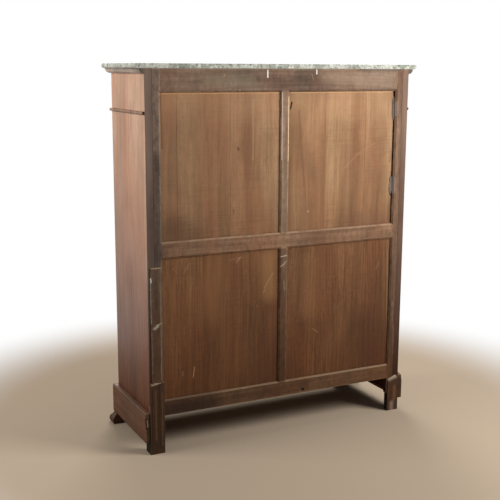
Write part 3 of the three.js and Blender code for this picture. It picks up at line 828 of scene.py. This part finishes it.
# The panel that has shrunk: its free edge is uneven, and bitten where the groove's lip broke away
def shrunkPanel():
    low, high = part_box(shrunk["panel"])
    dice = random.Random(shrunk["seed"])
    bm = cutBoard(low, high, shrunk["cuts"])
    middle = (low.x + high.x) / 2
    shifts = {}
    for v in bm.verts:
        if v.co.x > middle:
            continue
        height = round(v.co.z, 4)
        bite = sum(depth for top, foot, depth in shrunk["bites"] if foot < height < top)
        v.co.x += shifts.setdefault(height, bite + dice.uniform(0, shrunk["slack"]))
    return standIn(bm, shrunk["panel"], edge=0)


for seed, (place, part) in enumerate(panelParts.items(), seeds["panels"]):
    node = "back_panel_" + place
    look = dict(toned(panelWood, *part["tint"]), **part["changes"])
    piece = shrunkPanel() if node == shrunk["panel"] else refinedPiece(node)
    wood = woodMaterial(node, look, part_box(node), "Z", seed, part, scars=part["scars"], plane=panelFace)
    dress(piece, wood)


# Repairs on the back: a thin strip let on to one corner, and splinters left along the shrunk panel
repairStrip = {
    "low": (.5275, backFace, .2925), "high": (.571, backFace + .0022, .745),
    "cuts": 40, "wobble": .0009, "taper": 0, "seed": 3, "scars": [
        scar((571, 742), (571, 296), 2, darkMark, .6, 6),
        scar((569, 704), (569, 690), 4, (220, 220, 206), .9, 9),
        scar((570, 690), (570, 600), 2, (170, 170, 156), .7, 9),
        scar((570, 600), (569, 528), 2.6, (150, 150, 134), .6, 12),
        scar((556, 508), (542, 518), 8, (168, 162, 140), .7, 20),
        scar((545, 520), (530, 526), 3.5, (190, 178, 150), .6, 12),
        scar((568, 490), (566, 330), 3, (116, 106, 88), .5, 18),
        scar((529, 657), (531, 300), 2.4, (140, 116, 90), .6, 8),
        scar((530, 742), (566, 743), 2.8, (176, 150, 116), .6, 8),
    ],
}
splinters = {
    "boxes": (((-.5215, panelFace - .002, 1.278), (-.5080, panelFace + .0012, 1.368)),
              ((-.5190, panelFace - .002, .964), (-.5055, panelFace + .0014, 1.042))),
    "cuts": 22, "wobble": .0016, "taper": .75, "seed": 30,
}
taperedEnds = 6  # one part in this many of a splinter's length narrows at each end


def raggedStrip(name, low, high, ragged, seed):
    dice = random.Random(seed)
    bm = cutBoard(low, high, ragged["cuts"])
    middle = (low[0] + high[0]) / 2
    tall = high[2] - low[2]
    shifts = {}
    for v in bm.verts:
        key = (round(v.co.z, 4), v.co.x > middle)
        share = min(1, (high[2] - v.co.z) / tall * taperedEnds, (v.co.z - low[2]) / tall * taperedEnds)
        narrow = 1 - ragged["taper"] * (1 - max(0, share))
        shift = shifts.setdefault(key, dice.uniform(-ragged["wobble"], ragged["wobble"]))
        v.co.x = middle + (v.co.x - middle) * narrow + shift
    return finishPiece(bm, name, "carcass", finishing["stripEdge"])


low, high = repairStrip["low"], repairStrip["high"]
wood = woodMaterial("repair_strip", toned(bareFrameWood, .9), (low, high), "Z", seeds["strip"],
                    scars=repairStrip["scars"], plane=high[1])
dress(raggedStrip("repair_strip", low, high, repairStrip, repairStrip["seed"]), wood)
for number, (low, high) in enumerate(splinters["boxes"], 1):
    name = f"splinter_{number}"
    piece = raggedStrip(name, low, high, splinters, splinters["seed"] + number)
    dress(piece, woodMaterial(name, brokenWood, None, "Z", seeds["splinters"] + number))
print("back made")

# Sides: polished outside, bare inside and on the rear edge
sideInside = otherFace("X", innerSide + .004, innerSide + .001, (140, 104, 74), (178, 142, 106))
rearEdge = {
    "left": otherFace("Y", backFace - .003, backFace - .001, (104, 80, 66), (158, 128, 108)),
    "right": otherFace("Y", backFace - .003, backFace - .001, (80, 65, 57), (126, 108, 96)),
}
sideScars = {"right": [
    scar((580, 196), (580, 172), 8, (150, 118, 92), .55, 16),
    scar((580, 740), (580, 300), 2, (70, 56, 44), .6, 8),
]}
for seed, hand in enumerate(hands, seeds["sides"]):
    node = "side_" + hand
    makeBoard(node, polishedWood, "Z", seed, scars=sideScars.get(hand, ()),
              faces=[sideInside, rearEdge[hand]])

# Cornice, astragal and plinth. The rear ends were never polished.
endGrain = {
    "cornice": otherFace("Y", backFace - .002, backFace, (66, 62, 50), (96, 90, 74)),
    "astragal": otherFace("Y", backFace - .007, backFace - .004, (30, 20, 14), (52, 36, 26)),
    "plinth": otherFace("Y", backFace - .002, backFace, (66, 46, 34), (98, 72, 56)),
}
mouldings = {"cornice": mouldingWood, "astragal": beadWood, "plinth": toned(plinthWood, 1.38, 1.38, 1.24)}
mouldingScars = {"plinth_right": [
    # A notch at the plinth's rear corner, painted near-black as the shade in it
    scar((598, 150), (592, 108), 6, (30, 20, 15), .8, 9, 2),
    scar((592, 142), (590, 116), 3, (156, 128, 102), .6, 8),
    scar((597, 100), (597, 60), 2.5, (120, 94, 74), .5, 8),
]}
for row, (run, grain) in enumerate((("front", "X"), ("left", "Y"), ("right", "Y"))):
    for column, (kind, look) in enumerate(mouldings.items()):
        node = f"{kind}_{run}"
        seed = seeds["mouldings"] + len(mouldings) * row + column
        makeBoard(node, look, grain, seed, scars=mouldingScars.get(node, ()), faces=[endGrain[kind]])
for seed, hand in enumerate(hands, seeds["feet"]):
    makeBoard("front_foot_" + hand, plinthWood, "X", seed)
print("sides and mouldings made")

# Dividers and bottom board: polished on the front edge only
inside = otherFace("Y", frontFace + .004, frontFace + .007, (136, 102, 72), (186, 150, 110))
plainBoards = ["bottom_board"] + [f"divider_{number}" for number in drawerNumbers[:-1]]
for seed, node in enumerate(plainBoards, seeds["boards"]):
    dress(nodes[node], woodMaterial(node, frontWood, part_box(node), "X", seed, faces=[inside]))

# Drawer fronts: veneer with one mirrored flame running up through all of them
frontBack = otherFace("Y", drawerFace + .001, drawerFace + .0016, (104, 76, 52), (156, 120, 86))
veneer = woodMaterial("flame_veneer", frontWood, None, "Z", seeds["veneer"], lean=1.1, faces=[frontBack])
sideBoard = woodMaterial("tray_side", drawerWood, None, "Y", seeds["trays"])
crossBoard = woodMaterial("tray_cross", drawerWood, None, "X", seeds["trays"] + 1)
tray = {"wall": .012, "floor": .010, "floorRise": .003, "backDrop": .008, "groove": .006}


# Tray: two long sides, a lower back, and a floor let into grooves in them
def makeTray(drawer):
    node = drawer + "_tray"
    low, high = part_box(node)
    left, right = low.x + tray["wall"], high.x - tray["wall"]
    floorTop = low.z + tray["floor"]
    bm = bmesh.new()
    addBoard(bm, low, (left, high.y, high.z))
    addBoard(bm, (right, low.y, low.z), high)
    addBoard(bm, (left, high.y - tray["wall"], floorTop), (right, high.y, high.z - tray["backDrop"]), 1)
    addBoard(bm, (left - tray["groove"], low.y, low.z + tray["floorRise"]),
             (right + tray["groove"], high.y, floorTop), 1)
    dress(standIn(bm, node, drawer), sideBoard, crossBoard)


# Dovetails: the tails of the tray's sides, showing in the ends of the front
dovetail = {"length": .014, "depth": .012, "proud": .00015, "height": .026, "narrow": .62, "pitch": .044,
            "fewest": 2}


def makeDovetails(drawer):
    low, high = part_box(drawer + "_front")
    tall = high.z - low.z
    count = max(dovetail["fewest"], int(tall / dovetail["pitch"]))
    bm = bmesh.new()
    for sign, face in ((-1, low.x), (1, high.x)):
        near, far = sorted((face + sign * dovetail["proud"], face - sign * dovetail["depth"]))
        for row in range(count):
            middle = low.z + tall * (row + .5) / count
            verts = addBoard(bm, (near, high.y - dovetail["length"], middle - dovetail["height"] / 2),
                             (far, high.y, middle + dovetail["height"] / 2))
            for v in verts:
                if v.co.y > high.y - dovetail["length"] / 2:
                    v.co.z = middle + (v.co.z - middle) * dovetail["narrow"]
    dress(finishPiece(bm, drawer + "_dovetails", drawer, 0), sideBoard)


# Knob: turned about the middle of its node, as (radius, distance out from the front) in millimetres
knob = {
    "outline": ((5, -14), (5, -.3), (10.5, -.3), (10.8, 1.2), (10.4, 2.8), (8.9, 4.2), (7.9, 6.5), (7.9, 9.5),
                (9.2, 12.6), (12.6, 15.4), (15.6, 17.6), (16.6, 20), (16.8, 22.4), (16, 24.8), (13.8, 27),
                (10.2, 28.7), (5.4, 29.6), (0, 29.9)),
    "steps": 48,
}
knobLook = dict(plinthWood, wearShare=0, coat=.5, roughness=(.25, .4))
knobWood = woodMaterial("turned_knob", knobLook, None, "Y", seeds["knobs"])


def makeKnob(drawer, hand):
    node = f"{drawer}_knob_{hand}"
    low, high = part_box(node)
    middle = (low + high) / 2
    front = high.y + knob["outline"][0][1] / 1000
    bm = bmesh.new()
    points = [(middle.x + radius / 1000, front - out / 1000, middle.z) for radius, out in knob["outline"]]
    profile = [bm.verts.new(point) for point in points]
    edges = [bm.edges.new(pair) for pair in zip(profile, profile[1:])]
    bmesh.ops.spin(bm, geom=profile + edges, cent=(middle.x, 0, middle.z), axis=(0, 1, 0), angle=math.tau,
                   steps=knob["steps"], use_merge=True)
    bmesh.ops.remove_doubles(bm, verts=bm.verts, dist=finishing["touch"])
    bmesh.ops.holes_fill(bm, edges=[e for e in bm.edges if e.is_boundary], sides=knob["steps"])
    dress(standIn(bm, node, drawer, 0), knobWood)


# Keyhole plate: a brass oval let in flush, with a near-black disc behind the keyhole in it as painted shade
plate = {
    "radius": .0085, "tall": 1.45, "hole": .0026, "slot": 2.6, "slotFrom": .55, "pinch": .6, "proud": .0004,
    "sides": 32, "height": .6, "plugRadius": .0068, "plugSides": 12, "sunk": .0002,
}
brassLook = {"bright": rgb(190, 158, 92), "dull": rgb(98, 78, 48), "roughness": (.28, .55), "bump": .15,
             "bumpDepth": .0002, "specular": .5}
# The disc behind the keyhole: near-black, as painted shade
keyholeShadeLook = dict(plinthWood, dark=rgb(18, 13, 10), light=rgb(26, 19, 15), wearShare=0, warmShare=0, coat=0)


def brassMaterial():
    material, g, shader = newMaterial("keyhole_brass")
    place = g.add("ShaderNodeTexCoord").outputs["Object"]
    tarnish = g.noise(place, 220, 5, .65)["Fac"]
    brushed = g.drawn(place, (1, 1, .1), 2400, 2)
    colour = g.mix(g.ramp(tarnish, .35, .7), brassLook["bright"], brassLook["dull"])
    rough = g.ramp(tarnish, .3, .7, *brassLook["roughness"])
    joinShader(g, shader, colour, rough, brushed, brassLook)
    g.plug(shader.inputs["Metallic"], 1)
    return material


keyholeBrass = brassMaterial()
keyholeShade = woodMaterial("keyhole_shade", keyholeShadeLook, None, "Z", seeds["keyholes"])


def makeKeyhole(drawer):
    low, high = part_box(drawer + "_front")
    centre = Vector(((low.x + high.x) / 2, low.y, low.z + (high.z - low.z) * plate["height"]))
    upright = Matrix.Translation(centre) @ Matrix.Rotation(math.pi / 2, 4, "X")
    bm = bmesh.new()
    rim = bmesh.ops.create_circle(bm, segments=plate["sides"], radius=plate["radius"])["verts"]
    bmesh.ops.scale(bm, vec=(1, plate["tall"], 1), verts=rim)
    hole = bmesh.ops.create_circle(bm, segments=plate["sides"], radius=plate["hole"])["verts"]
    bmesh.ops.translate(bm, vec=(0, plate["hole"], 0), verts=hole)
    for v in hole:
        if v.co.y < plate["hole"] * plate["slotFrom"]:
            v.co.y = plate["hole"] + (v.co.y - plate["hole"]) * plate["slot"]
            v.co.x *= plate["pinch"]
    plug = bmesh.ops.create_circle(bm, segments=plate["plugSides"], radius=plate["plugRadius"], cap_ends=True)
    plug = plug["verts"]
    bmesh.ops.translate(bm, vec=(0, 0, -plate["sunk"]), verts=plug)
    for face in {f for v in plug for f in v.link_faces}:
        face.material_index = 1
    around = [e for e in bm.edges if e.verts[0] in rim or e.verts[0] in hole]
    ring = bmesh.ops.bridge_loops(bm, edges=around)["faces"]
    raised = bmesh.ops.extrude_face_region(bm, geom=ring)["geom"]
    raised = [part for part in raised if isinstance(part, bmesh.types.BMVert)]
    bmesh.ops.translate(bm, vec=(0, 0, plate["proud"]), verts=raised)
    bmesh.ops.transform(bm, matrix=upright, verts=bm.verts)
    dress(finishPiece(bm, drawer + "_keyhole", drawer, 0), keyholeBrass, keyholeShade)


for number in drawerNumbers:
    drawer = f"drawer_{number}"
    dress(refinedPiece(drawer + "_front", drawer), veneer)
    makeTray(drawer)
    makeDovetails(drawer)
    makeKeyhole(drawer)
    if number > 1:
        for hand in hands:
            makeKnob(drawer, hand)
print("drawers made")

# Marble top
marbleLook = {
    "dark": rgb(139, 142, 129), "light": rgb(194, 194, 181), "cloud": rgb(232, 230, 218), "cloudShare": .8,
    "speck": rgb(70, 76, 64), "speckShare": .75, "vein": rgb(200, 200, 190), "veinShare": .5,
    "roughness": (.72, .88), "specular": .06, "bump": .1, "bumpDepth": .001,
}


def marbleMaterial():
    material, g, shader = newMaterial("marble")
    stone = g.group(stoneGroup, g.add("ShaderNodeTexCoord").outputs["Object"])
    colour = g.mix(stone["ground"], marbleLook["dark"], marbleLook["light"])
    for effect, paint in (("clouds", "cloud"), ("veins", "vein"), ("specks", "speck")):
        colour = g.layer(colour, stone[effect], marbleLook[paint + "Share"], marbleLook[paint])
    rough = g.ramp(stone["specks"], 0.0, 1.0, *marbleLook["roughness"])
    joinShader(g, shader, colour, rough, stone["clouds"], marbleLook)
    return material


dress(refinedPiece("marble_top"), marbleMaterial())
print("marble made")
